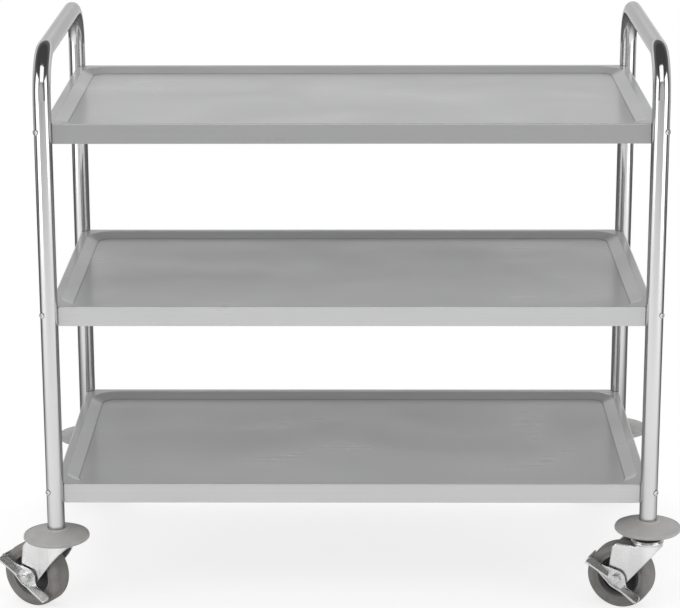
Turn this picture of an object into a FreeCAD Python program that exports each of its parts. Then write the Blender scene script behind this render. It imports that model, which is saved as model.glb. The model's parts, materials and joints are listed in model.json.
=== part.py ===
import FreeCAD, Part
import math
import os
import re
import Sketcher

# Serving trolley: two bent-tube end frames, three pressed trays, four swivel casters.
# Millimetres. Origin on the floor midway between the four legs, +Z up.
# +X runs to the trolley's right, the two braked casters are at the front (-Y).

Vector = FreeCAD.Vector
Rotation = FreeCAD.Rotation
Placement = FreeCAD.Placement

UP = Vector(0, 0, 1)
ORIGIN = Vector(0, 0, 0)
ROOT_TWO = math.sqrt(2)

# Slack when an edge is picked by its place
PICK_SLACK = 0.001

# Driving dimensions, one cell each.
SIZES = {
    # End frames
    "leg_spacing_length": 852.0,
    "leg_spacing_depth": 454.0,
    "tube_diameter": 25.0,
    "tube_wall": 1.2,
    "handle_rise": 94.5,
    "handle_bend_radius": 60.0,
    # Trays
    "bottom_tray_gap": 24.7,
    "middle_tray_rise": 264.0,
    "top_tray_rise": 262.0,
    "apron_height": 28.0,
    "sheet_thickness": 1.0,
    "edge_round": 2.2,
    "ledge_width": 12.5,
    "border_run": 17.0,
    "border_drop": 8.0,
    "panel_corner_radius": 22.0,
    "hem_width": 7.0,
    "notch_clearance": 0.3,
    # Channel under each tray
    "channel_length": 620.0,
    "channel_width": 60.0,
    "channel_flange": 15.0,
    "channel_drop": 9.0,
    "channel_sheet": 1.2,
    # Tray screws
    "screw_radius": 2.5,
    "screw_hole_gap": 0.1,
    "screw_drop": 10.0,
    "screw_head_radius": 4.2,
    "screw_head_height": 2.6,
    "screw_socket_flats": 3.0,
    "screw_socket_depth": 1.5,
    "nut_flats": 8.0,
    "nut_height": 3.6,
    "screw_stick_out": 0.8,
    # Bumper discs
    "bumper_radius": 47.5,
    "right_bumper_lift": 13.0,
    "bumper_rim_thickness": 5.5,
    "bumper_rim_round": 1.6,
    "bumper_dome_radius": 32.0,
    "bumper_dome_rise": 7.4,
    "bumper_neck_step": 1.8,
    "bumper_neck_rise": 10.4,
    "bumper_collar_wall": 2.7,
    "bumper_collar_rise": 13.0,
    "bumper_hub_lift": 2.4,
    "bumper_hub_margin": 1.5,
    "bumper_bore_gap": 0.1,
    # Leg plug and stem
    "plug_gap": 0.1,
    "plug_length": 45.0,
    "stem_radius": 5.5,
    "stem_gap": 0.1,
    "stem_length": 38.0,
    "stem_collar_height": 1.6,
    "seat_gap": 0.3,
    "cup_radius": 19.0,
    "cup_height": 3.2,
    "rivet_radius": 11.0,
    "rivet_height": 2.4,
    # Ball race
    "ball_radius": 2.0,
    "ball_ring_inset": 5.0,
    "ball_count": 16.0,
    "race_gap": 0.4,
    "ball_groove_gap": 0.05,
    "cup_groove_gap": 0.3,
    # Fork
    "housing_radius": 22.5,
    "fork_headroom": 12.5,
    "housing_roof": 4.0,
    "housing_round": 2.0,
    "shoulder_drop": 8.0,
    "fork_sheet": 2.5,
    "fork_side_gap": 2.0,
    "kingpin_gap": 0.08,
    "fork_boss_radius": 14.5,
    "crease_inset": 3.0,
    "nose_drop": 2.0,
    "fork_back_reach": 9.3,
    "fork_back_drop": 6.0,
    "fork_corner_cut": 5.5,
    # Wheel
    "wheel_diameter": 95.0,
    "wheel_trail": 37.0,
    "tyre_width": 32.0,
    "tyre_round": 5.0,
    "tyre_lip_width": 2.0,
    "core_radius": 29.0,
    "core_seat_gap": 0.1,
    "core_rim_wall": 3.5,
    "core_rim_width": 24.0,
    "core_web": 7.0,
    "core_boss_radius": 11.5,
    "core_boss_gap": 0.4,
    "sleeve_radius": 6.0,
    "sleeve_running_gap": 0.05,
    "axle_radius": 4.0,
    "axle_gap": 0.1,
    "axle_flats": 13.0,
    "axle_head_height": 5.3,
    "axle_nut_height": 5.5,
    "axle_nut_dome": 1.8,
    "axle_nut_round": 1.4,
    "axle_end_gap": 0.5,
    # Brake lever
    "cam_radius": 9.5,
    "cam_height": 2.9,
    "lever_sheet": 2.0,
    "lever_gap": 0.3,
    "lever_pivot_gap": 0.06,
    "lever_boss_radius": 13.0,
    "lever_emboss_step": 3.5,
    "lever_emboss_height": 1.0,
    "lever_flange_height": 3.5,
    "lever_flange_wall": 1.8,
    "lever_arm_distance": 27.5,
    "lever_arm_radius": 5.5,
    "lever_toe_angle": 29.0,
    "lever_toe_radius": 6.0,
    "lever_neck_offset": 12.0,
    "lever_neck_fall": 14.5,
    "lever_neck_radius": 5.0,
    "lever_tail_offset": 29.5,
    "lever_tail_fall": 25.5,
    "lever_tail_radius": 6.5,
    "lever_lip_start": 16.0,
    "lever_lip_root_radius": 4.5,
    "lever_lip_reach": 10.5,
    "lever_lip_slope": 28.0,
    "pedal_tyre_gap": 1.0,
    "pedal_sheet": 2.2,
    "pedal_width": 11.0,
    "pedal_inner_reach": 7.0,
    "pedal_angle": 26.0,
    "pedal_slot_width": 4.0,
    "pedal_slot_length": 12.0,
    # Rest directions of the casters, from each swivel axis to its wheel, counted from +X
    "front_left_trail_angle": 151.0,
    "front_right_trail_angle": 156.0,
    "rear_left_trail_angle": 20.0,
    "rear_right_trail_angle": 160.0,
}

# Working values that follow from the driving dimensions.
DERIVED = {
    "half_length": "leg_spacing_length / 2",
    "half_depth": "leg_spacing_depth / 2",
    "tube_radius": "tube_diameter / 2",
    "tube_bore": "tube_radius - tube_wall",
    "notch_radius": "tube_radius + notch_clearance",
    "axle_height": "wheel_diameter / 2",
    "plate_inner": "tyre_width / 2 + fork_side_gap",
    "plate_outer": "plate_inner + fork_sheet",
    "housing_top_height": "wheel_diameter + fork_headroom",
    "shoulder_height": "housing_top_height - shoulder_drop",
    "ball_height": "housing_top_height + race_gap / 2",
    "ball_ring_radius": "cup_radius - ball_ring_inset",
    "cup_bottom": "housing_top_height + race_gap",
    "cup_top": "cup_bottom + cup_height",
    "tube_foot_height": "cup_top + stem_collar_height",
    "left_bumper_height": "tube_foot_height - bumper_hub_lift",
    "right_bumper_height": "left_bumper_height + right_bumper_lift",
    "bottom_tray_height":
        "right_bumper_height + bumper_collar_rise + bottom_tray_gap + apron_height",
    "middle_tray_height": "bottom_tray_height + middle_tray_rise",
    "top_tray_height": "middle_tray_height + top_tray_rise",
    "handle_height": "top_tray_height + handle_rise",
    "bumper_hub_radius": "housing_radius + bumper_hub_margin",
    "bumper_collar_radius": "tube_radius + bumper_collar_wall",
    "bumper_neck_radius": "bumper_collar_radius + bumper_neck_step",
    "roof_underside": "housing_top_height - housing_roof",
    "crease_offset": "housing_radius - crease_inset",
    "fork_back_offset": "wheel_trail + fork_back_reach",
    "tyre_lip_radius": "core_radius + tyre_lip_width",
    "pedal_distance": "axle_height + pedal_tyre_gap + pedal_sheet / 2",
    "lever_toe_distance": "pedal_distance - lever_toe_radius",
    "lever_emboss_radius": "lever_boss_radius - lever_emboss_step",
    "lever_inner": "plate_outer + cam_height + lever_gap",
    "lever_outer": "lever_inner + lever_sheet",
    "lever_face": "lever_outer + lever_emboss_height",
}

doc = FreeCAD.newDocument("ServingTrolley")
sheet = doc.addObject("Spreadsheet::Sheet", "Sizes")
for row, (alias, number) in enumerate(SIZES.items(), start=1):
    sheet.set("A%d" % row, str(number))
    sheet.setAlias("A%d" % row, alias)
doc.recompute()


def bound(text):
    """Formula over size names, written out for the sheet."""

    def swap(found):
        word = found.group(0)
        if word in DERIVED:
            return "(" + bound(DERIVED[word]) + ")"
        return "Sizes." + word if word in SIZES else word

    return re.sub(r"[a-z_]+", swap, text)


def size(text):
    """Value of a formula over size names."""
    return float(sheet.evalExpression(bound(text)))


nodes = []


def finish(item, label):
    """Give a sub-part its name and put it on the list of sub-parts."""
    item.Label = label
    nodes.append(item)
    return item


def place(item, x="0", y="0", z="0", angle=None):
    """Place an item, with its position and turn about Z bound to the sheet."""
    item.Placement = Placement(Vector(size(x), size(y), size(z)), Rotation(UP, 1))
    for axis, formula in (("x", x), ("y", y), ("z", z)):
        item.setExpression("Placement.Base." + axis, bound(formula))
    item.setExpression("Placement.Rotation.Angle", bound(angle) if angle else "0")
    return item


def body_plane(body, role):
    """Origin plane of a body."""
    return [item for item in body.Origin.OriginFeatures if item.Role == role][0]


def new_sketch(body, role, name):
    """Sketch on one of a body's origin planes."""
    sketch = body.newObject("Sketcher::SketchObject", name)
    sketch.AttachmentSupport = [(body_plane(body, role), "")]
    sketch.MapMode = "FlatFace"
    return sketch


def pin_point(sketch, geometry, point, x, y):
    """Fix a sketch point to two formulas."""
    for kind, formula in (("DistanceX", x), ("DistanceY", y)):
        number = sketch.addConstraint(Sketcher.Constraint(kind, geometry, point, size(formula)))
        sketch.setExpression("Constraints[%d]" % number, bound(formula))


def draw_outline(sketch, corners):
    """Closed outline of straight lines, each corner a pair of formulas."""
    count = len(corners)
    points = [Vector(size(x), size(y), 0) for x, y in corners]
    for index in range(count):
        line = Part.LineSegment(points[index], points[(index + 1) % count])
        sketch.addGeometry(line, False)
    for index in range(count):
        after = (index + 1) % count
        sketch.addConstraint(Sketcher.Constraint("Coincident", index, 2, after, 1))
    for index, (x, y) in enumerate(corners):
        pin_point(sketch, index, 1, x, y)


def turned_body(name, corners, plane="XZ_Plane"):
    """Body turned from a half section; the section's second value runs along the axis."""
    body = doc.addObject("PartDesign::Body", name)
    sketch = new_sketch(body, plane, name + "Section")
    draw_outline(sketch, corners)
    turning = body.newObject("PartDesign::Revolution", name + "Turning")
    turning.Profile = sketch
    turning.ReferenceAxis = (sketch, ["V_Axis"])
    turning.Angle = 360
    return body


def round_edges(body, name, radius, wanted):
    """Fillet the edges of a body's tip that the test picks."""
    doc.recompute()
    base = body.Tip
    picked = []
    for number, edge in enumerate(base.Shape.Edges, start=1):
        if wanted(edge):
            picked.append("Edge%d" % number)
    fillet = body.newObject("PartDesign::Fillet", name)
    fillet.Base = (base, picked)
    fillet.Radius = size(radius)
    fillet.setExpression("Radius", bound(radius))
    return fillet


def solid_feature(name, shape):
    """Sub-part whose shape is worked out here."""
    item = doc.addObject("Part::Feature", name)
    item.Shape = shape
    return item


def is_circle(edge):
    """Whether an edge is round."""
    return isinstance(edge.Curve, Part.Circle)


CORNERS = {
    "front_left": (-1, -1),
    "front_right": (1, -1),
    "rear_left": (-1, 1),
    "rear_right": (1, 1),
}
TRAYS = ("top", "middle", "bottom")


# End frames
def hole_tool(name, side, front, tray):
    """Cylinder that drills one leg from its outer corner towards the tray."""
    tool = doc.addObject("Part::Cylinder", name)
    tool.setExpression("Radius", bound("screw_radius + screw_hole_gap"))
    tool.setExpression("Height", bound("tube_diameter * 2"))
    inward = Vector(-side, -front, 0)
    tool.Placement = Placement(ORIGIN, Rotation(UP, inward))
    away = "tube_diameter / sqrt(2)"
    tool.setExpression("Placement.Base.x", bound("%d * %s" % (side, away)))
    tool.setExpression("Placement.Base.y", bound("%d * (half_depth + %s)" % (front, away)))
    tool.setExpression("Placement.Base.z", bound(tray + "_tray_height - screw_drop"))
    return tool


def end_frame(name, side):
    """Upside-down U of round tube: two legs and the push handle across their tops."""
    body = doc.addObject("PartDesign::Body", name + "Tube")
    section = new_sketch(body, "XY_Plane", name + "Section")
    section.setExpression("AttachmentOffset.Base.z", bound("tube_foot_height"))
    for index, radius in enumerate(("tube_radius", "tube_bore")):
        centre = Vector(0, size("half_depth"), 0)
        section.addGeometry(Part.Circle(centre, UP, size(radius)), False)
        number = section.addConstraint(Sketcher.Constraint("Radius", index, size(radius)))
        section.setExpression("Constraints[%d]" % number, bound(radius))
        pin_point(section, index, 3, "0", "half_depth")

    path = new_sketch(body, "YZ_Plane", name + "Path")
    foot, top = size("tube_foot_height"), size("handle_height")
    half, bend = size("half_depth"), size("handle_bend_radius")
    straight, run = top - bend, half - bend
    quarter = math.pi / 2
    rear_arc = Part.Circle(Vector(run, straight, 0), UP, bend)
    front_arc = Part.Circle(Vector(-run, straight, 0), UP, bend)
    path.addGeometry(Part.LineSegment(Vector(half, foot, 0), Vector(half, straight, 0)), False)
    path.addGeometry(Part.ArcOfCircle(rear_arc, 0, quarter), False)
    path.addGeometry(Part.LineSegment(Vector(run, top, 0), Vector(-run, top, 0)), False)
    path.addGeometry(Part.ArcOfCircle(front_arc, quarter, 2 * quarter), False)
    path.addGeometry(Part.LineSegment(Vector(-half, straight, 0), Vector(-half, foot, 0)), False)
    for before in range(4):
        path.addConstraint(Sketcher.Constraint("Coincident", before, 2, before + 1, 1))
    for arc in (1, 3):
        number = path.addConstraint(Sketcher.Constraint("Radius", arc, bend))
        path.setExpression("Constraints[%d]" % number, bound("handle_bend_radius"))
    pin_point(path, 0, 1, "half_depth", "tube_foot_height")
    pin_point(path, 0, 2, "half_depth", "handle_height - handle_bend_radius")
    pin_point(path, 2, 1, "half_depth - handle_bend_radius", "handle_height")
    pin_point(path, 2, 2, "handle_bend_radius - half_depth", "handle_height")
    pin_point(path, 4, 1, "-half_depth", "handle_height - handle_bend_radius")
    pin_point(path, 4, 2, "-half_depth", "tube_foot_height")

    pipe = body.newObject("PartDesign::AdditivePipe", name + "Pipe")
    pipe.Profile = section
    pipe.Spine = path

    drills = doc.addObject("Part::MultiFuse", name + "Drills")
    drills.Shapes = [
        hole_tool("%sDrill%s%d" % (name, tray, front + 1), side, front, tray)
        for tray in TRAYS
        for front in (-1, 1)
    ]
    frame = doc.addObject("Part::Cut", name)
    frame.Base = body
    frame.Tool = drills
    return place(frame, x="%d * half_length" % side)


# Trays
def notched_outline(inset, height):
    """Tray outline with a round notch at each leg, drawn in by an amount."""
    x, y = size("half_length"), size("half_depth")
    notch = size("notch_radius") + inset
    reach = math.sqrt(notch ** 2 - inset ** 2)
    slant = notch / ROOT_TWO
    edges = []
    turns = ((-1, -1), (1, -1), (1, 1), (-1, 1))
    for index, (side, front) in enumerate(turns):
        along_x = Vector(side * (x - reach), front * (y - inset), height)
        middle = Vector(side * (x - slant), front * (y - slant), height)
        along_y = Vector(side * (x - inset), front * (y - reach), height)
        first, last = (along_y, along_x) if side * front > 0 else (along_x, along_y)
        edges.append((first, middle, last))
    wire = []
    for index, (first, middle, last) in enumerate(edges):
        after = edges[(index + 1) % len(edges)][0]
        wire.append(Part.Arc(first, middle, last).toShape())
        wire.append(Part.LineSegment(last, after).toShape())
    return Part.Wire(wire)


def rounded_outline(inset, radius, height):
    """Rectangle with round corners, drawn in from the tray's outline."""
    x, y = size("half_length") - inset, size("half_depth") - inset
    slant = radius * (1 - 1 / ROOT_TWO)
    wire = []
    corners = []
    for side, front in ((-1, -1), (1, -1), (1, 1), (-1, 1)):
        along_x = Vector(side * (x - radius), front * y, height)
        middle = Vector(side * (x - slant), front * (y - slant), height)
        along_y = Vector(side * x, front * (y - radius), height)
        first, last = (along_y, along_x) if side * front > 0 else (along_x, along_y)
        corners.append((first, middle, last))
    for index, (first, middle, last) in enumerate(corners):
        after = corners[(index + 1) % len(corners)][0]
        wire.append(Part.Arc(first, middle, last).toShape())
        wire.append(Part.LineSegment(last, after).toShape())
    return Part.Wire(wire)


def upright(wire, rise):
    """Solid straight up from a flat outline."""
    return Part.Face(wire).extrude(Vector(0, 0, rise))


def sunk_pan(grow=0):
    """Hollow of the tray: sloping border down to the panel; grow thickens it all over."""
    run, drop, radius = size("border_run"), size("border_drop"), size("panel_corner_radius")
    mouth = size("ledge_width") - grow * math.hypot(run, drop) / drop
    floor = mouth + run * (drop + grow) / drop
    wires = [
        rounded_outline(mouth, radius + floor - mouth, 0),
        rounded_outline(floor, radius, -drop - grow),
    ]
    return Part.makeLoft(wires, True, True)


def upper_edges(shape, height):
    """Edges of a shape that lie at a height."""
    return [
        edge for edge in shape.Edges
        if min(vertex.Z for vertex in edge.Vertexes) > height - PICK_SLACK
    ]


def tray_shape():
    """Pressed tray: apron, rounded edge, level ledge, sloping border and sunk panel."""
    sheet_gauge, apron = size("sheet_thickness"), size("apron_height")
    block = upright(notched_outline(0, -apron), apron)
    block = block.makeFillet(size("edge_round"), upper_edges(block, 0))
    hollow = upright(notched_outline(sheet_gauge, -apron + sheet_gauge), apron - 2 * sheet_gauge)
    inner_round = max(size("edge_round") - sheet_gauge, sheet_gauge / 4)
    hollow = hollow.makeFillet(inner_round, upper_edges(hollow, -sheet_gauge))
    hollow = hollow.cut(sunk_pan(sheet_gauge))
    mouth = upright(notched_outline(size("hem_width"), -apron), sheet_gauge)
    return block.cut(sunk_pan()).cut(hollow).cut(mouth)


def corner_drill(side, front, radius, start, length):
    """Cylinder along a tray screw, measured from the leg's axis towards the tray."""
    inward = Vector(-side, -front, 0).normalize()
    centre = Vector(side * size("half_length"), front * size("half_depth"), -size("screw_drop"))
    return Part.makeCylinder(radius, length, centre + inward * start, inward)


def tray(name, shape, label):
    """One tray at its height, with its four screw holes."""
    item = solid_feature(name, shape)
    return finish(place(item, z=label + "_tray_height"), label + "_tray")


def channel(name, label):
    """Hat-section stiffener under a tray's panel."""
    body = doc.addObject("PartDesign::Body", name)
    section = new_sketch(body, "YZ_Plane", name + "Section")
    web = "channel_width / 2 - channel_flange"
    half = "channel_width / 2"
    draw_outline(
        section,
        [
            (half, "0"),
            (half, "-channel_sheet"),
            (web + " + channel_sheet", "-channel_sheet"),
            (web + " + channel_sheet", "-channel_drop"),
            ("-(%s) - channel_sheet" % web, "-channel_drop"),
            ("-(%s) - channel_sheet" % web, "-channel_sheet"),
            ("-(%s)" % half, "-channel_sheet"),
            ("-(%s)" % half, "0"),
            ("-(%s)" % web, "0"),
            ("-(%s)" % web, "channel_sheet - channel_drop"),
            (web, "channel_sheet - channel_drop"),
            (web, "0"),
        ],
    )
    pad = body.newObject("PartDesign::Pad", name + "Pad")
    pad.Profile = section
    pad.SideType = "Symmetric"
    pad.setExpression("Length", bound("channel_length"))
    depth = "border_drop + sheet_thickness"
    place(body, z="%s_tray_height - (%s)" % (label, depth))
    return finish(body, label + "_tray_channel")


# Tray screws and nuts
def hexagon(flats, height):
    """Upright six-sided prism."""
    radius = flats / math.sqrt(3)
    points = [
        Vector(radius * math.cos(math.radians(60 * k)), radius * math.sin(math.radians(60 * k)), 0)
        for k in range(7)
    ]
    return Part.Face(Part.makePolygon(points)).extrude(Vector(0, 0, height))


def screw_shape():
    """Socket button screw along +Z, its head's seat at zero and its head below."""
    head_radius, head_height = size("screw_head_radius"), size("screw_head_height")
    length = (
        size("tube_radius + notch_radius + sheet_thickness")
        + size("seat_gap + nut_height + screw_stick_out")
    )
    head = Part.makeCylinder(head_radius, head_height, Vector(0, 0, -head_height))
    crown = [
        edge for edge in head.Edges
        if is_circle(edge) and edge.BoundBox.ZMax < -head_height / 2
    ]
    head = head.makeFillet(head_height / 2, crown)
    socket = hexagon(size("screw_socket_flats"), size("screw_socket_depth"))
    socket.translate(Vector(0, 0, -head_height))
    shank = Part.makeCylinder(size("screw_radius"), length)
    return head.fuse(shank).removeSplitter().cut(socket)


def nut_shape():
    """Plain hexagon nut along +Z."""
    nut = hexagon(size("nut_flats"), size("nut_height"))
    bore = Part.makeCylinder(size("screw_radius + screw_hole_gap"), size("nut_height"))
    return nut.cut(bore)


def at_four_corners(shape, start):
    """The shape at each leg, its +Z towards the tray, a distance from the leg's axis."""
    copies = []
    for side, front in CORNERS.values():
        inward = Vector(-side, -front, 0).normalize()
        centre = Vector(side * size("half_length"), front * size("half_depth"), 0)
        copy = shape.copy()
        copy.Placement = Placement(centre + inward * start, Rotation(UP, inward))
        copies.append(copy)
    return Part.makeCompound(copies)


# Bumpers, plugs and stems, each about its leg's axis
def bumper(name, x, y, label):
    """Soft domed disc gripped round a leg, its height the middle of its rim."""
    rim = "bumper_rim_thickness / 2"
    edge = "bumper_radius - bumper_rim_round"
    bore = "tube_radius + bumper_bore_gap"
    body = turned_body(
        name,
        [
            (bore, "bumper_hub_lift"),
            ("bumper_hub_radius", "bumper_hub_lift"),
            ("bumper_radius - bumper_rim_round * 2", "-(%s)" % rim),
            (edge, "-(%s)" % rim),
            ("bumper_radius", "bumper_rim_round - " + rim),
            ("bumper_radius", rim + " - bumper_rim_round"),
            (edge, rim),
            ("bumper_dome_radius", "bumper_dome_rise"),
            ("bumper_neck_radius", "bumper_neck_rise"),
            ("bumper_collar_radius", "bumper_collar_rise"),
            (bore, "bumper_collar_rise"),
        ],
    )
    end = "left" if CORNERS[label][0] < 0 else "right"
    place(body, x=x, y=y, z=end + "_bumper_height")
    return finish(body, "bumper_" + label)


def leg_plug(name, x, y, label):
    """Sleeve pressed into the foot of a leg, which grips the caster's stem."""
    body = turned_body(
        name,
        [
            ("stem_radius + stem_gap", "tube_foot_height"),
            ("tube_bore - plug_gap", "tube_foot_height"),
            ("tube_bore - plug_gap", "tube_foot_height + plug_length"),
            ("stem_radius + stem_gap", "tube_foot_height + plug_length"),
        ],
    )
    place(body, x=x, y=y)
    return finish(body, "leg_plug_" + label)


def stem(name, x, y, label):
    """Stem with its upper race cup, and the kingpin and rivet head below."""
    body = turned_body(
        name,
        [
            ("0", "roof_underside - seat_gap - rivet_height"),
            ("rivet_radius", "roof_underside - seat_gap - rivet_height"),
            ("rivet_radius", "roof_underside - seat_gap"),
            ("stem_radius", "roof_underside - seat_gap"),
            ("stem_radius", "cup_bottom"),
            ("cup_radius", "cup_bottom"),
            ("cup_radius", "cup_bottom + cup_height / 2"),
            ("cup_radius - cup_height / 2", "cup_top"),
            ("tube_radius", "cup_top"),
            ("tube_radius", "tube_foot_height"),
            ("stem_radius", "tube_foot_height"),
            ("stem_radius", "tube_foot_height + stem_length - stem_radius / 3"),
            ("stem_radius - stem_radius / 3", "tube_foot_height + stem_length"),
            ("0", "tube_foot_height + stem_length"),
        ],
    )
    groove = doc.addObject("Part::Torus", name + "Groove")
    groove.setExpression("Radius1", bound("ball_ring_radius"))
    groove.setExpression("Radius2", bound("ball_radius + cup_groove_gap"))
    groove.Placement = Placement(Vector(0, 0, size("ball_height")), Rotation())
    groove.setExpression("Placement.Base.z", bound("ball_height"))
    cut = doc.addObject("Part::Cut", name + "Grooved")
    cut.Base = body
    cut.Tool = groove
    place(cut, x=x, y=y)
    return finish(cut, "caster_stem_" + label)


# Caster pieces in the caster's own frame: floor point under the swivel axis, +X to the wheel,
# +Y to the side of the brake
def tangent_points(centre, radius, point):
    """Where the two tangents from a point touch a circle, in the side plane."""
    across, up = point[0] - centre[0], point[1] - centre[1]
    away = math.hypot(across, up)
    base = math.atan2(up, across)
    swing = math.acos(radius / away)
    return [
        (
            centre[0] + radius * math.cos(base + turn),
            centre[1] + radius * math.sin(base + turn),
        )
        for turn in (swing, -swing)
    ]


def side_point(pair):
    """Point of the caster's side plane."""
    return Vector(pair[0], 0, pair[1])


def plan_outline(nose, flat, end, low):
    """Round nose about the swivel axis that narrows to two flat sides."""
    crease = size("crease_offset")
    points = [
        Vector(0, nose, low),
        Vector(crease, flat, low),
        Vector(end, flat, low),
        Vector(end, -flat, low),
        Vector(crease, -flat, low),
        Vector(0, -nose, low),
    ]
    edges = [
        Part.LineSegment(points[k], points[k + 1]).toShape()
        for k in range(len(points) - 1)
    ]
    edges.append(Part.Arc(points[-1], Vector(-nose, 0, low), points[0]).toShape())
    return Part.Wire(edges)


def fork_shape():
    """Pressed yoke: round housing, two side plates cut on a slant down to the axle."""
    housing, wall = size("housing_radius"), size("fork_sheet")
    inner, outer = size("plate_inner"), size("plate_outer")
    shoulder = size("shoulder_height")
    boss = size("fork_boss_radius")
    axle = (size("wheel_trail"), size("axle_height"))
    back = size("fork_back_offset")
    back_top = (back, shoulder - size("fork_back_drop"))
    corner = (back - size("fork_corner_cut"), shoulder)
    nose_low = (-housing, shoulder - size("nose_drop"))
    front_touch = tangent_points(axle, boss, nose_low)[0]
    back_touch = tangent_points(axle, boss, back_top)[1]
    under = (axle[0], axle[1] - boss)
    outline = [
        Part.LineSegment(side_point(nose_low), side_point(front_touch)).toShape(),
        Part.Arc(side_point(front_touch), side_point(under), side_point(back_touch)).toShape(),
        Part.LineSegment(side_point(back_touch), side_point(back_top)).toShape(),
        Part.LineSegment(side_point(back_top), side_point(corner)).toShape(),
        Part.LineSegment(side_point(corner), side_point((-housing, shoulder))).toShape(),
        Part.LineSegment(side_point((-housing, shoulder)), side_point(nose_low)).toShape(),
    ]
    side = Part.Face(Part.Wire(outline)).extrude(Vector(0, 4 * housing, 0))
    side.translate(Vector(0, -2 * housing, 0))
    end = axle[0] + 2 * boss
    shell = upright(plan_outline(housing, outer, end, 0), shoulder)
    inside = upright(plan_outline(housing - wall, inner, end + boss, 0), shoulder)
    skirt = side.common(shell.cut(inside))

    top = size("housing_top_height")
    drum = Part.makeCylinder(housing, top - shoulder, Vector(0, 0, shoulder))
    brim = [
        edge for edge in drum.Edges
        if is_circle(edge) and edge.BoundBox.ZMin > shoulder + PICK_SLACK
    ]
    drum = drum.makeFillet(size("housing_round"), brim)
    roof = size("roof_underside")
    drum = drum.cut(Part.makeCylinder(housing - wall, roof - shoulder, Vector(0, 0, shoulder)))
    fork = drum.fuse(skirt).removeSplitter()
    pin_hole = Part.makeCylinder(size("stem_radius + kingpin_gap"), top)
    groove = Part.makeTorus(
        size("ball_ring_radius"),
        size("ball_radius + ball_groove_gap"),
        Vector(0, 0, size("ball_height")),
    )
    return fork.cut(pin_hole).cut(groove).cut(across_cylinder(size("axle_radius + axle_gap")))


def across_cylinder(radius, start=None, end=None):
    """Cylinder about the axle's line, between two distances from the wheel's middle."""
    low = -size("plate_outer") * 2 if start is None else start
    high = size("plate_outer") * 2 if end is None else end
    foot = Vector(size("wheel_trail"), low, size("axle_height"))
    return Part.makeCylinder(radius, high - low, foot, Vector(0, 1, 0))


def across_hexagon(flats, start, height):
    """Six-sided prism about the axle's line."""
    prism = hexagon(flats, height)
    prism.Placement = Placement(
        Vector(size("wheel_trail"), start, size("axle_height")), Rotation(UP, Vector(0, 1, 0))
    )
    return prism


def ball_ring_shape():
    """Balls of the swivel race."""
    count = round(size("ball_count"))
    balls = []
    for k in range(count):
        turn = 2 * math.pi * k / count
        ring = size("ball_ring_radius")
        centre = Vector(ring * math.cos(turn), ring * math.sin(turn), size("ball_height"))
        balls.append(Part.makeSphere(size("ball_radius"), centre))
    return Part.makeCompound(balls)


def axle_bolt_shape(end):
    """Hexagon bolt through fork, sleeve and wheel, its head away from the brake."""
    seat = -size("plate_outer")
    height = size("axle_head_height")
    head = across_hexagon(size("axle_flats"), seat - height, height)
    return head.fuse(across_cylinder(size("axle_radius"), seat, end)).removeSplitter()


def axle_nut_shape(start):
    """Domed nut on the bolt's end."""
    height, dome = size("axle_nut_height"), size("axle_nut_dome")
    prism = across_hexagon(size("axle_flats"), start, height)
    cap = across_cylinder(size("axle_flats") / 2 - dome / 2, start + height, start + height + dome)
    ends = [
        edge for edge in cap.Edges
        if is_circle(edge) and edge.BoundBox.YMin > start + height + dome / 2
    ]
    cap = cap.makeFillet(size("axle_nut_round"), ends)
    bore = across_cylinder(size("axle_radius + lever_pivot_gap"), start, start + height)
    return prism.fuse(cap).cut(bore)


def brake_cam_shape():
    """Fixed face cam between fork and brake lever."""
    start, end = size("plate_outer"), size("plate_outer + cam_height")
    disc = across_cylinder(size("cam_radius"), start, end)
    return disc.cut(across_cylinder(size("axle_radius + lever_pivot_gap"), start, end))


def tapered_bar(first, first_radius, second, second_radius, start, thickness):
    """Flat bar with round ends of two sizes, in the caster's side plane."""
    across, up = second[0] - first[0], second[1] - first[1]
    away = math.hypot(across, up)
    base = math.atan2(up, across)
    swing = math.acos((first_radius - second_radius) / away)
    corners = []
    for centre, radius in ((first, first_radius), (second, second_radius)):
        for turn in (swing, -swing):
            corners.append(
                Vector(
                    centre[0] + radius * math.cos(base + turn),
                    start,
                    centre[1] + radius * math.sin(base + turn),
                )
            )
    loop = [corners[0], corners[2], corners[3], corners[1], corners[0]]
    bar = Part.Face(Part.makePolygon(loop)).extrude(Vector(0, thickness, 0))
    for centre, radius in ((first, first_radius), (second, second_radius)):
        foot = Vector(centre[0], start, centre[1])
        bar = bar.fuse(Part.makeCylinder(radius, thickness, foot, Vector(0, 1, 0)))
    return bar


def lever_reach(distance):
    """Point of the lever's side view at a distance from the axle towards the toe."""
    angle = math.radians(size("lever_toe_angle"))
    return (
        size("wheel_trail") + distance * math.cos(angle),
        size("axle_height") + distance * math.sin(angle),
    )


def lever_fall(label):
    """Point of the lever's side view below the axle, at its neck or tail."""
    return (
        size("wheel_trail") - size("lever_%s_offset" % label),
        size("axle_height") - size("lever_%s_fall" % label),
    )


def lever_plate(start, thickness):
    """Lever's side view as a flat plate: boss, arm to the toe pedal, neck and tail."""
    stations = [
        (lever_fall("tail"), size("lever_tail_radius")),
        (lever_fall("neck"), size("lever_neck_radius")),
        (lever_reach(0), size("lever_boss_radius")),
        (lever_reach(size("lever_arm_distance")), size("lever_arm_radius")),
        (lever_reach(size("lever_toe_distance")), size("lever_toe_radius")),
    ]
    plate = None
    for before, after in zip(stations, stations[1:]):
        bar = tapered_bar(before[0], before[1], after[0], after[1], start, thickness)
        plate = bar if plate is None else plate.fuse(bar)
    return plate.removeSplitter()


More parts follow.
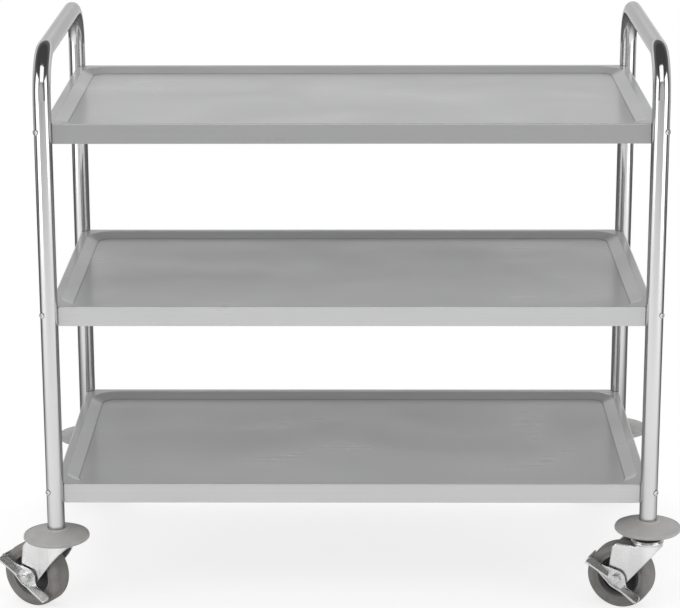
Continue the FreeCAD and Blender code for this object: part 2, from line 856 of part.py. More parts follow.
def lever_lip(root, end, end_radius):
    """Sheet flared outwards and down along one end of the lever."""
    start, gauge, reach = size("lever_inner"), size("lever_sheet"), size("lever_lip_reach")
    root_radius = size("lever_lip_root_radius")
    along = Vector(end[0] - root[0], 0, end[1] - root[1])
    length = along.Length + end_radius + root_radius
    along.normalize()
    upward = along.cross(Vector(0, 1, 0))
    if upward.z < 0:
        upward = -upward
    outline = tapered_bar(end, end_radius, root, root_radius, start + gauge / 2, reach + gauge / 2)
    slope = math.radians(size("lever_lip_slope"))
    down = Vector(0, math.cos(slope), 0) - upward * math.sin(slope)
    width = 4 * (reach + end_radius)
    top = Vector(root[0], start + gauge, root[1]) + upward * end_radius
    corner = top - down * (width / 2) - along * length
    face = along.cross(down)
    if face.y < 0:
        face = -face
        corner = corner + along * (3 * length)
        along = -along
    slab = Part.makeBox(3 * length, width, gauge)
    slab.Placement = Placement(corner - face * gauge, Rotation(along, down, face, "ZXY"))
    return slab.common(outline)


def brake_lever_shape():
    """Pressed lever on the axle: turned edge, flared ends, ring and toe pedal over the tyre."""
    inner, gauge = size("lever_inner"), size("lever_sheet")
    flange, wall = size("lever_flange_height"), size("lever_flange_wall")
    plate = lever_plate(inner, gauge)
    toe_angle = math.radians(size("lever_toe_angle"))
    upward = Vector(-math.sin(toe_angle), 0, math.cos(toe_angle)) * wall
    rim = lever_plate(inner + gauge, flange)
    hollow = lever_plate(inner + gauge, flange)
    hollow.translate(upward)
    rim = rim.cut(hollow)
    rim = max(rim.Solids, key=lambda solid: solid.Volume)
    ring = across_cylinder(size("lever_emboss_radius"), inner + gauge, size("lever_face"))

    angle = math.radians(size("pedal_angle"))
    outward = Vector(math.cos(angle), 0, math.sin(angle))
    along = Vector(-math.sin(angle), 0, math.cos(angle))
    axle = Vector(size("wheel_trail"), 0, size("axle_height"))
    width, sheet_gauge = size("pedal_width"), size("pedal_sheet")
    far = -size("pedal_inner_reach")
    pedal = Part.makeBox(sheet_gauge, inner + gauge - far, width)
    pedal = pedal.makeFillet(
        sheet_gauge,
        [
            edge for edge in pedal.Edges
            if edge.BoundBox.YMax < PICK_SLACK and edge.BoundBox.ZLength < PICK_SLACK
        ],
    )
    slot_width, slot_length = size("pedal_slot_width"), size("pedal_slot_length")
    slot = Part.makeBox(
        4 * sheet_gauge,
        slot_length,
        slot_width,
        Vector(-sheet_gauge, (inner - far - slot_length) / 2, (width - slot_width) / 2),
    )
    pedal = pedal.cut(slot)
    tilt = Rotation(outward, Vector(0, 1, 0), along, "ZXY")
    corner = axle + outward * (size("pedal_distance") - sheet_gauge / 2) - along * (width / 2)
    pedal.Placement = Placement(corner + Vector(0, far, 0), tilt)
    toe = lever_reach(size("lever_toe_distance"))
    toe_lip = lever_lip(lever_reach(size("lever_lip_start")), toe, size("lever_toe_radius"))
    tail_lip = lever_lip(lever_fall("neck"), lever_fall("tail"), size("lever_tail_radius"))
    lever = plate.fuse([rim, ring, pedal, toe_lip, tail_lip]).removeSplitter()
    return lever.cut(across_cylinder(size("axle_radius + lever_pivot_gap")))


def caster_point(corner, along, across="0"):
    """Formulas of a point in a caster's own frame, turned to its rest direction."""
    side, front = CORNERS[corner]
    angle = corner + "_trail_angle * 1 deg"
    x = "%d * half_length + (%s) * cos(%s) - (%s) * sin(%s)" % (side, along, angle, across, angle)
    y = "%d * half_depth + (%s) * sin(%s) + (%s) * cos(%s)" % (front, along, angle, across, angle)
    return x, y


def caster_piece(shape, corner, label):
    """Piece whose shape is in the caster's own frame, set at its leg."""
    item = solid_feature(label.title().replace("_", ""), shape)
    x, y = caster_point(corner, "0")
    place(item, x=x, y=y, angle=corner + "_trail_angle")
    return finish(item, label)


def wheel_piece(corner, label, corners):
    """Piece turned about the wheel's axle."""
    body = turned_body(label.title().replace("_", ""), corners, plane="XY_Plane")
    x, y = caster_point(corner, "wheel_trail")
    place(body, x=x, y=y, z="axle_height", angle=corner + "_trail_angle")
    return body


def tyre(corner):
    """Tyre with rounded shoulders and a lip that leans in to the wheel's core."""
    half = "tyre_width / 2"
    seat = "core_radius + core_seat_gap"
    lip = half + " - core_rim_wall"
    body = wheel_piece(
        corner,
        "tyre_" + corner,
        [
            (seat, "-(%s)" % lip),
            ("tyre_lip_radius", "-(%s)" % half),
            ("wheel_diameter / 2", "-(%s)" % half),
            ("wheel_diameter / 2", half),
            ("tyre_lip_radius", half),
            (seat, lip),
        ],
    )
    outer = size("wheel_diameter / 2")
    label = body.Name + "Shoulders"
    round_edges(
        body,
        label,
        "tyre_round",
        lambda edge: is_circle(edge) and edge.Curve.Radius > outer - PICK_SLACK,
    )
    return finish(body, "tyre_" + corner)


def core(corner):
    """Moulded wheel centre: bored boss, web and rim."""
    boss = "plate_inner - core_boss_gap"
    web, rim = "core_web / 2", "core_rim_width / 2"
    bore = "sleeve_radius + sleeve_running_gap"
    inside = "core_radius - core_rim_wall"
    body = wheel_piece(
        corner,
        "wheel_core_" + corner,
        [
            (bore, "-(%s)" % boss),
            ("core_boss_radius", "-(%s)" % boss),
            ("core_boss_radius", "-(%s)" % web),
            (inside, "-(%s)" % web),
            (inside, "-(%s)" % rim),
            ("core_radius", "-(%s)" % rim),
            ("core_radius", rim),
            (inside, rim),
            (inside, web),
            ("core_boss_radius", web),
            ("core_boss_radius", boss),
            (bore, boss),
        ],
    )
    return finish(body, "wheel_core_" + corner)


def axle_sleeve(corner):
    """Steel bush that the fork clamps, on which the wheel turns."""
    body = wheel_piece(
        corner,
        "axle_sleeve_" + corner,
        [
            ("axle_radius + axle_gap", "-plate_inner"),
            ("sleeve_radius", "-plate_inner"),
            ("sleeve_radius", "plate_inner"),
            ("axle_radius + axle_gap", "plate_inner"),
        ],
    )
    return finish(body, "axle_sleeve_" + corner)


def caster(corner, braked):
    """Swivel caster at one leg."""
    caster_piece(fork_shape(), corner, "fork_" + corner)
    caster_piece(ball_ring_shape(), corner, "swivel_balls_" + corner)
    nut_start = size("lever_face + lever_gap") if braked else size("plate_outer")
    thread = nut_start + size("axle_nut_height - axle_end_gap")
    caster_piece(axle_bolt_shape(thread), corner, "axle_bolt_" + corner)
    caster_piece(axle_nut_shape(nut_start), corner, "axle_nut_" + corner)
    axle_sleeve(corner)
    core(corner)
    tyre(corner)
    if braked:
        caster_piece(brake_cam_shape(), corner, "brake_cam_" + corner)
        caster_piece(brake_lever_shape(), corner, "brake_lever_" + corner)


# The assembly
finish(end_frame("LeftFrame", -1), "left_end_frame")
finish(end_frame("RightFrame", 1), "right_end_frame")

tray_blank = tray_shape()
for side, front in CORNERS.values():
    bore = size("screw_radius + screw_hole_gap")
    tray_blank = tray_blank.cut(corner_drill(side, front, bore, 0, size("tube_diameter")))
screws = at_four_corners(screw_shape(), -size("tube_radius"))
nuts = at_four_corners(nut_shape(), size("notch_radius + sheet_thickness + seat_gap"))
for label in TRAYS:
    tray(label.title() + "Tray", tray_blank, label)
    channel(label.title() + "Channel", label)
    for word, shape in (("screws", screws), ("nuts", nuts)):
        item = solid_feature(label.title() + word.title(), shape)
        place(item, z=label + "_tray_height - screw_drop")
        finish(item, "%s_tray_%s" % (label, word))

for corner, (side, front) in CORNERS.items():
    x, y = "%d * half_length" % side, "%d * half_depth" % front
    tag = corner.title().replace("_", "")
    bumper(tag + "Bumper", x, y, corner)
    leg_plug(tag + "Plug", x, y, corner)
    stem(tag + "Stem", x, y, corner)
    caster(corner, braked=front < 0)

doc.recompute()

# Checks and export
for item in doc.Objects:
    if "Invalid" in item.State or "Error" in item.State:
        raise RuntimeError("failed object: %s %s" % (item.Name, item.State))
os.makedirs("parts", exist_ok=True)
for item in nodes:
    if item.Shape.isNull() or not item.Shape.isValid():
        raise RuntimeError("bad shape: " + item.Label)
    item.Shape.exportStep(os.path.join("parts", item.Label + ".step"))
print(len(nodes), "sub-parts written")
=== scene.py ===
import json
import math

import bmesh
import bpy
from mathutils import Matrix, Vector


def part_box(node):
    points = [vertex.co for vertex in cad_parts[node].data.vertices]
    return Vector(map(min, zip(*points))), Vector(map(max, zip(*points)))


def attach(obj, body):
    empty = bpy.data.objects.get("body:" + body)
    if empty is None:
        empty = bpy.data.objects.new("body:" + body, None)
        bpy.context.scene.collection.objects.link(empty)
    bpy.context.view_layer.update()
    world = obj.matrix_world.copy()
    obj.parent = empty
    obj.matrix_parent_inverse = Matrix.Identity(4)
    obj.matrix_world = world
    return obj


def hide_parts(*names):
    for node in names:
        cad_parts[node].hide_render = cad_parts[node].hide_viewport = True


# Serving trolley in stainless steel: materials, small turned trim, stage, light and camera round
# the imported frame. Metres, in the frame's own axes; the photograph looks along +y.

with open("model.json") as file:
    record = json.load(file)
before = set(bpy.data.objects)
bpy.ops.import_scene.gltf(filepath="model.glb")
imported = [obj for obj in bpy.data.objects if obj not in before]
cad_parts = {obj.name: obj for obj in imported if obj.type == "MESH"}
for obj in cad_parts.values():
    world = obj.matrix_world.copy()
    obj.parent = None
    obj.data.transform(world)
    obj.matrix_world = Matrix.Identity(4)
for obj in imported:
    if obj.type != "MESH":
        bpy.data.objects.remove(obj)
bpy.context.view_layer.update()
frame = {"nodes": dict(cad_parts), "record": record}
scene = bpy.context.scene
CORNERS = ("front_left", "front_right", "rear_left", "rear_right")

# Trays: half sizes and corner radius of the sunk panel, and a thin dark line of painted shade
# round it, where the panel meets its border
PANEL_HALF = (0.3965, 0.1975)
PANEL_ROUND = 0.022
CREASE_SOLID, CREASE_END = 0.0004, 0.0014
CREASE_SHADE_SHARE, CREASE_SHADE_TONE = 0.8, 0.3

# Textures: cells in each metre along x, y and z
POLISH_MARKS = (900, 900, 40)
POLISH_CLOUDS = (14, 14, 5)
SHEET_CLOUDS = (5, 7, 7)
PLATE_PEEL = (140, 140, 140)
PLATE_CLOUDS = (60, 60, 60)
STEEL_CLOUDS = (180, 180, 180)
RUBBER_CLOUDS = (45, 45, 45)

# Grain of the brushed sheet: cells in each metre along it, across it, and octaves of detail
FINE_GRAIN = (7.0, 1500.0, 3.0)
COARSE_GRAIN = (2.5, 260.0, 2.0)

# Height of each texture's relief, and radius that softens an edge
POLISH_RELIEF = 0.000004
SHEET_RELIEF = 0.000005
STEEL_RELIEF = 0.000006
PLATE_RELIEF = 0.000007
SHEET_EDGE = 0.0008
PLATE_EDGE = 0.003
EDGE_SAMPLES = 6

# Sockets of the colour form of the Mix node
MIX_SHARE, MIX_FIRST, MIX_SECOND, MIX_RESULT = 0, 6, 7, 2


# Node helpers
def new_material(name):
    """Empty node material with its shader and output."""
    material = bpy.data.materials.new(name)
    material.use_nodes = True
    tree = material.node_tree
    tree.nodes.clear()
    output = tree.nodes.new("ShaderNodeOutputMaterial")
    shader = tree.nodes.new("ShaderNodeBsdfPrincipled")
    tree.links.new(shader.outputs["BSDF"], output.inputs["Surface"])
    return material, tree, shader


def node(tree, kind, **settings):
    """Node with some of its settings given."""
    made = tree.nodes.new(kind)
    for name, value in settings.items():
        setattr(made, name, value)
    return made


def feed(tree, socket, value):
    """Link an output to a socket, or set the socket to a constant."""
    if isinstance(value, bpy.types.NodeSocket):
        tree.links.new(value, socket)
    else:
        socket.default_value = value


def math_node(tree, operation, *values):
    """Math node's result."""
    made = node(tree, "ShaderNodeMath", operation=operation)
    for socket, value in zip(made.inputs, values):
        feed(tree, socket, value)
    return made.outputs[0]


def parted(tree, vector):
    """X, Y and Z outputs of a vector."""
    made = node(tree, "ShaderNodeSeparateXYZ")
    tree.links.new(vector, made.inputs[0])
    return made.outputs


def place_scaled(tree, scale):
    """Object coordinates stretched by a scale for each axis."""
    coordinates = node(tree, "ShaderNodeTexCoord")
    mapping = node(tree, "ShaderNodeMapping")
    mapping.inputs["Scale"].default_value = scale
    tree.links.new(coordinates.outputs["Object"], mapping.inputs["Vector"])
    return mapping.outputs["Vector"]


def noise(tree, vector, detail, roughness=0.5, distortion=0.0):
    """Noise value from 0 to 1 at coordinates already scaled."""
    made = node(tree, "ShaderNodeTexNoise")
    made.inputs["Scale"].default_value = 1.0
    made.inputs["Detail"].default_value = detail
    made.inputs["Roughness"].default_value = roughness
    made.inputs["Distortion"].default_value = distortion
    tree.links.new(vector, made.inputs["Vector"])
    return made.outputs["Fac"]


def spread(tree, value, low, high, start=0.3, end=0.7):
    """Value mapped from start..end to low..high; the defaults fit a noise value."""
    made = node(tree, "ShaderNodeMapRange")
    made.inputs["From Min"].default_value = start
    made.inputs["From Max"].default_value = end
    made.inputs["To Min"].default_value = low
    made.inputs["To Max"].default_value = high
    feed(tree, made.inputs["Value"], value)
    return made.outputs["Result"]


def blend_colours(tree, share, first, second):
    """Mix of two colours."""
    made = node(tree, "ShaderNodeMix", data_type="RGBA")
    feed(tree, made.inputs[MIX_SHARE], share)
    feed(tree, made.inputs[MIX_FIRST], first)
    feed(tree, made.inputs[MIX_SECOND], second)
    return made.outputs[MIX_RESULT]


def blend_shaders(tree, share, first, second):
    """Mix of two shaders."""
    made = node(tree, "ShaderNodeMixShader")
    feed(tree, made.inputs[0], share)
    tree.links.new(first, made.inputs[1])
    tree.links.new(second, made.inputs[2])
    return made.outputs[0]


def bump(tree, height, distance, normal=None):
    """Bump normal of a height in 0..1 that stands for a distance."""
    made = node(tree, "ShaderNodeBump")
    made.inputs["Strength"].default_value = 1.0
    made.inputs["Distance"].default_value = distance
    tree.links.new(height, made.inputs["Height"])
    if normal is not None:
        tree.links.new(normal, made.inputs["Normal"])
    return made.outputs["Normal"]


def soft_edges(tree, radius):
    """Normal that rounds a piece's edges."""
    made = node(tree, "ShaderNodeBevel", samples=EDGE_SAMPLES)
    made.inputs["Radius"].default_value = radius
    return made.outputs["Normal"]


def grey(value, warm=0.0):
    """Grey with a touch of warmth."""
    return (value * (1 + warm), value, value * (1 - warm), 1.0)


# Materials
def polished_tube():
    """Mirror-polished tube with very faint polishing marks and clouds."""
    material, tree, shader = new_material("polished_tube")
    shader.inputs["Metallic"].default_value = 1.0
    shader.inputs["Specular Tint"].default_value = grey(0.62)
    fine = noise(tree, place_scaled(tree, POLISH_MARKS), detail=4)
    cloud = noise(tree, place_scaled(tree, POLISH_CLOUDS), detail=3, distortion=0.4)
    tint = blend_colours(tree, spread(tree, cloud, 0, 1), grey(0.56, 0.004), grey(0.61, -0.004))
    tree.links.new(tint, shader.inputs["Base Color"])
    rough = math_node(
        tree, "ADD", spread(tree, cloud, 0.09, 0.13), spread(tree, fine, -0.015, 0.02)
    )
    tree.links.new(rough, shader.inputs["Roughness"])
    tree.links.new(bump(tree, fine, POLISH_RELIEF), shader.inputs["Normal"])
    return material


def painted_crease_shade(tree, place):
    """Share of the thin dark line of painted shade round a tray's sunk panel, where it meets its
    border.
    """
    beyond = []
    for axis, half in enumerate(PANEL_HALF):
        off_middle = math_node(tree, "ABSOLUTE", place[axis])
        beyond.append(math_node(tree, "SUBTRACT", off_middle, half - PANEL_ROUND))
    corner = [math_node(tree, "MAXIMUM", value, 0.0) for value in beyond]
    squares = [math_node(tree, "MULTIPLY", value, value) for value in corner]
    outside = math_node(tree, "SQRT", math_node(tree, "ADD", *squares))
    inside = math_node(tree, "MINIMUM", math_node(tree, "MAXIMUM", *beyond), 0.0)
    edge = math_node(tree, "SUBTRACT", math_node(tree, "ADD", outside, inside), PANEL_ROUND)
    away = math_node(tree, "ABSOLUTE", edge)
    return spread(tree, away, CREASE_SHADE_SHARE, 0, CREASE_SOLID, CREASE_END)


def brushed_sheet(name, apron_shade_share):
    """Sheet brushed along its length; the grain runs over the folds at the two ends.

    The faces along the two long sides keep only a share of the sheet's tone, given by the
    argument: painted shade that dims the aprons.
    """
    material, tree, shader = new_material(name)
    shader.inputs["Metallic"].default_value = 0.62
    shader.inputs["Anisotropic"].default_value = 0.8
    geometry = node(tree, "ShaderNodeNewGeometry")
    facing = parted(tree, geometry.outputs["Normal"])
    place = parted(tree, node(tree, "ShaderNodeTexCoord").outputs["Object"])
    at_end = math_node(tree, "GREATER_THAN", math_node(tree, "ABSOLUTE", facing["X"]), 0.5)
    at_side = math_node(tree, "GREATER_THAN", math_node(tree, "ABSOLUTE", facing["Y"]), 0.8)

    def grain(along, across, detail):
        upward = spread(tree, at_end, across, along, 0, 1)
        joined = node(tree, "ShaderNodeCombineXYZ")
        for axis, scale in zip("XYZ", (along, across, upward)):
            feed(tree, joined.inputs[axis], math_node(tree, "MULTIPLY", place[axis], scale))
        return noise(tree, joined.outputs[0], detail=detail, roughness=0.6)

    streak = math_node(
        tree,
        "ADD",
        spread(tree, grain(*FINE_GRAIN), 0, 0.6),
        spread(tree, grain(*COARSE_GRAIN), 0, 0.4),
    )
    tint = blend_colours(tree, streak, grey(0.625), grey(0.675, -0.006))
    # Painted shade: the faces along the long sides are dimmed towards black.
    apron_shade = math_node(tree, "MULTIPLY", at_side, 1 - apron_shade_share)
    tint = blend_colours(tree, apron_shade, tint, grey(0))
    # Painted shade: a thin dark line round the sunk panel's edge.
    tint = blend_colours(tree, painted_crease_shade(tree, place), tint, grey(CREASE_SHADE_TONE))
    tree.links.new(tint, shader.inputs["Base Color"])
    cloud = noise(tree, place_scaled(tree, SHEET_CLOUDS), detail=3, distortion=0.5)
    rough = math_node(
        tree, "ADD", spread(tree, cloud, 0.27, 0.33), spread(tree, streak, -0.012, 0.02, 0, 1)
    )
    tree.links.new(rough, shader.inputs["Roughness"])

    lay = node(tree, "ShaderNodeCombineXYZ")
    feed(tree, lay.inputs["X"], math_node(tree, "SUBTRACT", 1.0, at_end))
    feed(tree, lay.inputs["Z"], at_end)
    tangent = node(tree, "ShaderNodeVectorMath", operation="CROSS_PRODUCT")
    tree.links.new(geometry.outputs["Normal"], tangent.inputs[0])
    tree.links.new(lay.outputs[0], tangent.inputs[1])
    tree.links.new(tangent.outputs[0], shader.inputs["Tangent"])
    tree.links.new(
        bump(tree, streak, SHEET_RELIEF, soft_edges(tree, SHEET_EDGE)), shader.inputs["Normal"]
    )
    return material


def bright_plate():
    """Pressed steel with bright plating, a little orange peel and soft edges."""
    material, tree, shader = new_material("bright_plate")
    shader.inputs["Metallic"].default_value = 1.0
    peel = noise(tree, place_scaled(tree, PLATE_PEEL), detail=2)
    cloud = noise(tree, place_scaled(tree, PLATE_CLOUDS), detail=3, distortion=0.6)
    tint = blend_colours(tree, spread(tree, cloud, 0, 1), grey(0.74, 0.004), grey(0.8))
    tree.links.new(tint, shader.inputs["Base Color"])
    tree.links.new(spread(tree, cloud, 0.22, 0.3), shader.inputs["Roughness"])
    tree.links.new(
        bump(tree, peel, PLATE_RELIEF, soft_edges(tree, PLATE_EDGE)), shader.inputs["Normal"]
    )
    return material


def steel(name, tones, rough, edge=0.0006):
    """Plain plated steel of the small hardware."""
    material, tree, shader = new_material(name)
    shader.inputs["Metallic"].default_value = 1.0
    cloud = noise(tree, place_scaled(tree, STEEL_CLOUDS), detail=4, distortion=0.4)
    tint = blend_colours(tree, spread(tree, cloud, 0, 1), grey(tones[0]), grey(tones[1]))
    tree.links.new(tint, shader.inputs["Base Color"])
    tree.links.new(spread(tree, cloud, *rough), shader.inputs["Roughness"])
    tree.links.new(
        bump(tree, cloud, STEEL_RELIEF, soft_edges(tree, edge)), shader.inputs["Normal"]
    )
    return material


def rubber(name, tones, warm, rough, cells, relief, edge, shine):
    """Moulded rubber or plastic with a fine matte skin and cloudy wear."""
    material, tree, shader = new_material(name)
    shader.inputs["Specular IOR Level"].default_value = shine
    skin = noise(tree, place_scaled(tree, (cells, cells, cells)), detail=3)
    cloud = noise(tree, place_scaled(tree, RUBBER_CLOUDS), detail=4, distortion=0.8)
    tint = blend_colours(
        tree, spread(tree, cloud, 0, 1), grey(tones[0], warm), grey(tones[1], warm)
    )
    tree.links.new(tint, shader.inputs["Base Color"])
    tree.links.new(spread(tree, cloud, rough - 0.06, rough + 0.06), shader.inputs["Roughness"])
    tree.links.new(bump(tree, skin, relief, soft_edges(tree, edge)), shader.inputs["Normal"])
    return material


MATERIALS = {
    "polished_tube": polished_tube(),
    # The aprons are dimmed as painted shade, the top tray's much more than the others.
    "brushed_tray": brushed_sheet("brushed_tray", apron_shade_share=0.92),
    "top_sheet": brushed_sheet("top_sheet", apron_shade_share=0.62),
    "bright_plate": bright_plate(),
    "zinc_steel": steel("zinc_steel", tones=(0.42, 0.52), rough=(0.28, 0.4)),
    "hardware_steel": steel("hardware_steel", tones=(0.62, 0.72), rough=(0.18, 0.26)),
    # Near black: painted shade on the swivel stems' cups, which sit in shade under the bumper
    # discs.
    "dark_cup": steel("dark_cup", tones=(0.035, 0.05), rough=(0.35, 0.5)),
    "lever_plate": steel("lever_plate", tones=(0.7, 0.78), rough=(0.2, 0.27), edge=0.0007),
    "bumper_rubber": rubber(
        "bumper_rubber", tones=(0.43, 0.48), warm=0.02, rough=0.55,
        cells=2600, relief=0.00004, edge=0.0012, shine=0.4,
    ),
    "plug_plastic": rubber(
        "plug_plastic", tones=(0.05, 0.07), warm=0.0, rough=0.5,
        cells=1800, relief=0.00003, edge=0.0005, shine=0.4,
    ),
    "tyre_rubber": rubber(
        "tyre_rubber", tones=(0.2, 0.26), warm=0.045, rough=0.52,
        cells=1500, relief=0.00005, edge=0.001, shine=0.45,
    ),
    "wheel_plastic": rubber(
        "wheel_plastic", tones=(0.042, 0.056), warm=-0.03, rough=0.42,
        cells=1600, relief=0.00004, edge=0.0006, shine=0.5,
    ),
}

# Pieces that look unlike the rest of their material slot, by name without corner
OWN_MATERIAL = {
    # The stems' cups take the near-black painted shade.
    "caster_stem": "dark_cup",
    "brake_lever": "lever_plate",
    "top_tray": "top_sheet",
    "top_tray_channel": "top_sheet",
}
SLOTS = {row["node"]: row["material_slot"] for row in frame["record"]["subparts"]}
for name, item in frame["nodes"].items():
    kind = name
    for corner in CORNERS:
        kind = kind.removesuffix("_" + corner)
    item.data.materials.clear()
    item.data.materials.append(MATERIALS[OWN_MATERIAL.get(kind, SLOTS[name])])


# Turned pieces
TURN_STEPS = 120
SHARP_DEGREES = 42


def turned(name, section, centre, axis, material, body):
    """Closed section of (radius, distance along the axis) pairs, turned about the axis."""
    mesh = bpy.data.meshes.new(name)
    shape = bmesh.new()
    turn = Vector((0, 0, 1)).rotation_difference(axis).to_matrix()
    rings = []
    for step in range(TURN_STEPS):
        angle = 2 * math.pi * step / TURN_STEPS
        out = Vector((math.cos(angle), math.sin(angle), 0))
        rings.append(
            [
                shape.verts.new(centre + turn @ (out * radius + Vector((0, 0, along))))
                for radius, along in section
            ]
        )
    for step, ring in enumerate(rings):
        after = rings[(step + 1) % TURN_STEPS]
        for index in range(len(section)):
            other = (index + 1) % len(section)
            shape.faces.new((ring[index], after[index], after[other], ring[other]))
    bmesh.ops.recalc_face_normals(shape, faces=shape.faces)
    shape.to_mesh(mesh)
    shape.free()
    mesh.shade_smooth()
    mesh.set_sharp_from_angle(angle=math.radians(SHARP_DEGREES))
    mesh.materials.append(material)
    item = bpy.data.objects.new(name, mesh)
    scene.collection.objects.link(item)
    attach(item, body)
    return item


def arc(centre, reach, start, stop, steps):
    """Points on an ellipse from one angle to another, in degrees."""
    points = []
    for step in range(steps + 1):
        angle = math.radians(start + (stop - start) * step / steps)
        points.append(
            (centre[0] + reach[0] * math.cos(angle), centre[1] + reach[1] * math.sin(angle))
        )
    return points


def tyre_section():
    """Tyre's cut: tread with two grooves, round shoulders, sides with a bead and a groove."""
    tread, half, shoulder, depth = 0.0475, 0.016, 0.005, 0.0005
    right = [(tread, 0.0)]
    tread_groove = ((tread, 0.0078), (tread - depth, 0.0081), (tread - depth, 0.0087))
    right += [*tread_groove, (tread, 0.009)]
    right += arc((tread - shoulder, half - shoulder), (shoulder, shoulder), 0, 90, 8)
    side_bead = ((0.0399, 0.01645), (0.039, 0.01665), (0.0381, 0.01645))
    right += [(0.0404, half), *side_bead, (0.0376, half)]
    side_groove = ((0.0348, 0.0155), (0.0342, 0.0155))
    right += [(0.0352, half), *side_groove, (0.0338, half)]
    seat = (0.0291, 0.0125)
    right += [(0.031, half), seat]
    left = [(radius, -along) for radius, along in reversed(right[1:])]
    return right + left


def bead_section():
    """Half-round bead rolled into the fork's housing, measured from the floor."""
    housing, middle, reach, half, sunk = 0.0224, 0.1035, 0.0011, 0.0022, 0.0005
    outer = arc((housing, middle), (reach, half), -90, 90, 12)
    return outer + [(housing - sunk, middle + half), (housing - sunk, middle - half)]


def lip_section():
    """Raised lip round a bumper disc's rim, measured from the disc's lowest plane."""
    middle, foot, half, rise = 0.0459, 0.0052, 0.0010, 0.0011
    inner_sunk, outer_sunk = 0.0008, 0.0014
    outer = arc((middle, foot), (half, rise), 0, 180, 9)
    return outer + [(middle - half, foot - inner_sunk), (middle + half, foot - outer_sunk)]


for corner in CORNERS:
    low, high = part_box("bumper_" + corner)
    foot = Vector(((low.x + high.x) / 2, (low.y + high.y) / 2, low.z))
    turned(
        "bumper_lip_" + corner, lip_section(), foot, Vector((0, 0, 1)),
        MATERIALS["bumper_rubber"], "trolley",
    )

for joint in frame["record"]["behaviour"]["joints"]:
    place, axis, body = Vector(joint["pos_m"]), Vector(joint["axis"]), joint["child"]
    if joint["name"].startswith("wheel_spin"):
        corner = body.replace("wheel_", "")
        tyre = turned(
            "tyre_rings_" + corner, tyre_section(), place, axis,
            MATERIALS["tyre_rubber"], body,
        )
        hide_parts("tyre_" + corner)
    elif joint["name"].startswith("swivel"):
        corner = body.replace("caster_", "")
        floor_point = Vector((place.x, place.y, 0))
        turned(
            "fork_bead_" + corner, bead_section(), floor_point, axis,
            MATERIALS["hardware_steel"], body,
        )


# Stage: the floor's edges, and where it has run out into the white
FLOOR_SIDE, FLOOR_FRONT, FLOOR_BACK = 2.8, -4.1, 3.4
SHADOW_REACH, WHITE_REACH = 0.6, 1.2


def quad(name, corners, material):
    """Flat rectangle of the stage."""
    mesh = bpy.data.meshes.new(name)
    mesh.from_pydata(corners, [], [(0, 1, 2, 3)])
    mesh.materials.append(material)
    item = bpy.data.objects.new(name, mesh)
    scene.collection.objects.link(item)


def floor_material():
    """Pale floor that runs out into the white background; to glossy rays it glows in front of
    the trolley as painted light and dims under and behind it as painted shade.
    """
    material = bpy.data.materials.new("stage_floor")
    material.use_nodes = True
    tree = material.node_tree
    tree.nodes.clear()
    output = node(tree, "ShaderNodeOutputMaterial")

    def plain(value):
        made = node(tree, "ShaderNodeBsdfDiffuse")
        made.inputs["Color"].default_value = grey(value)
        return made.outputs[0]

    def glow(value):
        made = node(tree, "ShaderNodeEmission")
        made.inputs["Strength"].default_value = value
        return made.outputs[0]

    def both(first, second):
        made = node(tree, "ShaderNodeAddShader")
        tree.links.new(first, made.inputs[0])
        tree.links.new(second, made.inputs[1])
        return made.outputs[0]

    centred = node(tree, "ShaderNodeTexCoord").outputs["Object"]
    length = node(tree, "ShaderNodeVectorMath", operation="LENGTH")
    tree.links.new(centred, length.inputs[0])
    run_out = spread(tree, length.outputs["Value"], 0, 1, SHADOW_REACH, WHITE_REACH)
    seen = blend_shaders(tree, run_out, both(plain(0.3), glow(0.76)), glow(1.0))
    # Seen only in reflections: painted light, a glow over the floor in front, fading to a dim
    # floor of painted shade under and behind the trolley and at the far front edge.
    depth = parted(tree, centred)["Y"]
    near = spread(tree, depth, 0, 1, FLOOR_FRONT, -3.8)
    ahead = spread(tree, depth, 1, 0, -0.5, 0.3)
    lit = math_node(tree, "MULTIPLY", near, ahead)
    mirrored = blend_shaders(tree, lit, plain(0.25), both(plain(0.8), glow(0.38)))
    path = node(tree, "ShaderNodeLightPath")
    unseen = blend_shaders(tree, path.outputs["Is Glossy Ray"], plain(0.8), mirrored)
    shown = blend_shaders(tree, path.outputs["Is Camera Ray"], unseen, seen)
    tree.links.new(shown, output.inputs["Surface"])
    return material


quad(
    "stage_floor",
    [
        (-FLOOR_SIDE, FLOOR_FRONT, 0),
        (FLOOR_SIDE, FLOOR_FRONT, 0),
        (FLOOR_SIDE, FLOOR_BACK, 0),
        (-FLOOR_SIDE, FLOOR_BACK, 0),
    ],
    floor_material(),
)


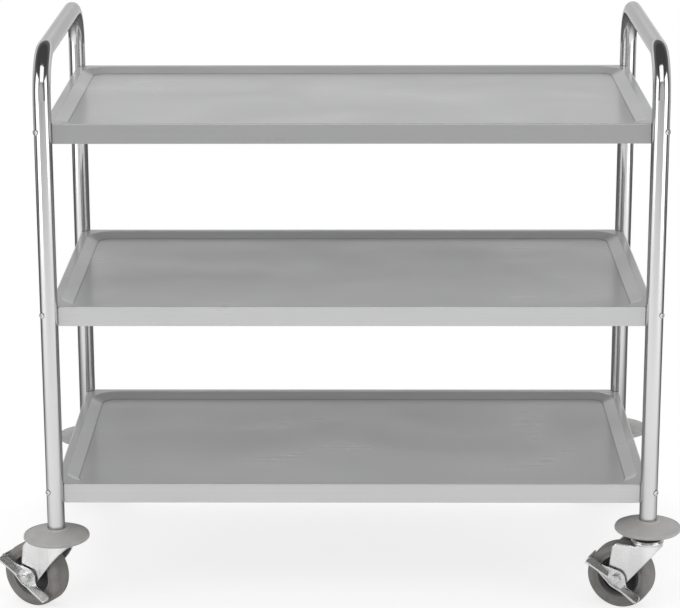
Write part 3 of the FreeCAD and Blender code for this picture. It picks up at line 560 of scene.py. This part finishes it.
# World
def studio_world():
    """White to the camera, a studio with a dark ceiling to the polish, soft fill to the rest."""
    world = bpy.data.worlds.new("studio")
    scene.world = world
    world.use_nodes = True
    tree = world.node_tree
    tree.nodes.clear()
    output = node(tree, "ShaderNodeOutputWorld")

    def background(colour):
        made = node(tree, "ShaderNodeBackground")
        made.inputs["Strength"].default_value = 1.0
        feed(tree, made.inputs["Color"], colour)
        return made.outputs[0]

    direction = parted(tree, node(tree, "ShaderNodeTexCoord").outputs["Generated"])
    backward, upward = direction["Y"], direction["Z"]
    from_behind = spread(tree, backward, 0, 1, -0.1, 0.6)
    fill = blend_colours(tree, from_behind, grey(0.22), grey(0.75))

    rising = spread(tree, upward, 0, 1, 0.17, 0.24)
    low_wall = blend_colours(tree, rising, grey(0.97), grey(1.36))
    above = spread(tree, upward, 0, 1, 0.27, 0.37)
    back_wall = blend_colours(tree, above, low_wall, grey(0.2))
    in_front = spread(tree, backward, 1, 0, -0.92, -0.78)
    room = blend_colours(tree, in_front, grey(0.14), grey(0.72))
    behind_it = spread(tree, backward, 0, 1, 0.1, 0.7)
    walls = blend_colours(tree, behind_it, room, back_wall)
    overhead = spread(tree, upward, 0, 1, 0.5, 0.7)
    studio = blend_colours(tree, overhead, walls, grey(0.08))

    path = node(tree, "ShaderNodeLightPath")
    in_polish = math_node(
        tree, "MAXIMUM", path.outputs["Is Glossy Ray"], path.outputs["Is Transmission Ray"]
    )
    unseen = blend_shaders(tree, in_polish, background(fill), background(studio))
    seen = background(grey(1.0))
    shown = blend_shaders(tree, path.outputs["Is Camera Ray"], unseen, seen)
    tree.links.new(shown, output.inputs["Surface"])


studio_world()


# Lamps
def softbox(name, place, aim, size, power, in_polish=True):
    """Soft rectangular lamp aimed at a point."""
    light = bpy.data.lights.new(name, "AREA")
    light.shape = "RECTANGLE"
    light.size, light.size_y = size
    light.energy = power
    lamp = bpy.data.objects.new(name, light)
    scene.collection.objects.link(lamp)
    lamp.location = place
    lamp.rotation_euler = (Vector(aim) - Vector(place)).to_track_quat("-Z", "Y").to_euler()
    lamp.visible_camera = False
    lamp.visible_glossy = in_polish


for side, name in ((-1, "lamp_left"), (1, "lamp_right")):
    softbox(
        name, place=(side * 2.25, -1.42, 1.15), aim=(side * 0.43, -0.24, 1.15),
        size=(1.6, 2.3), power=24,
    )
softbox("lamp_front", place=(0, -2.15, 3.1), aim=(0, -0.1, 0.75), size=(2.4, 2.1), power=26)
softbox(
    "lamp_over", place=(0, 0.5, 3.0), aim=(0, 0.2, 0), size=(2.6, 2.0), power=32,
    in_polish=False,
)


# Camera, solved from the photograph's perspective: pixels and radians
PHOTO_WIDTH, PHOTO_HEIGHT = 680, 608
FOCAL_PIXELS = 2563.88
CENTRE_PIXELS = (332.5, 319.0)
CAMERA_PLACE = (0.01181, -3.69805, 1.42493)
PITCH, YAW, ROLL = 0.2777, -0.0111, -0.0030
SENSOR_WIDTH_MM = 36
FAR_CLIP = 60

forward = Vector(
    (math.sin(YAW) * math.cos(PITCH), math.cos(YAW) * math.cos(PITCH), -math.sin(PITCH))
)
level = Vector((math.cos(YAW), -math.sin(YAW), 0))
rise = level.cross(forward)
right = level * math.cos(ROLL) + rise * math.sin(ROLL)
top = rise * math.cos(ROLL) - level * math.sin(ROLL)
lens = bpy.data.cameras.new("camera")
lens.sensor_fit = "HORIZONTAL"
lens.sensor_width = SENSOR_WIDTH_MM
lens.lens = SENSOR_WIDTH_MM * FOCAL_PIXELS / PHOTO_WIDTH
lens.shift_x = 0.5 - CENTRE_PIXELS[0] / PHOTO_WIDTH
lens.shift_y = (CENTRE_PIXELS[1] - 0.5 * PHOTO_HEIGHT) / PHOTO_WIDTH
lens.clip_end = FAR_CLIP
camera = bpy.data.objects.new("camera", lens)
scene.collection.objects.link(camera)
camera.matrix_world = Matrix(
    (
        (right.x, top.x, -forward.x, CAMERA_PLACE[0]),
        (right.y, top.y, -forward.y, CAMERA_PLACE[1]),
        (right.z, top.z, -forward.z, CAMERA_PLACE[2]),
        (0, 0, 0, 1),
    )
)
scene.camera = camera
scene.view_settings.view_transform = "Standard"
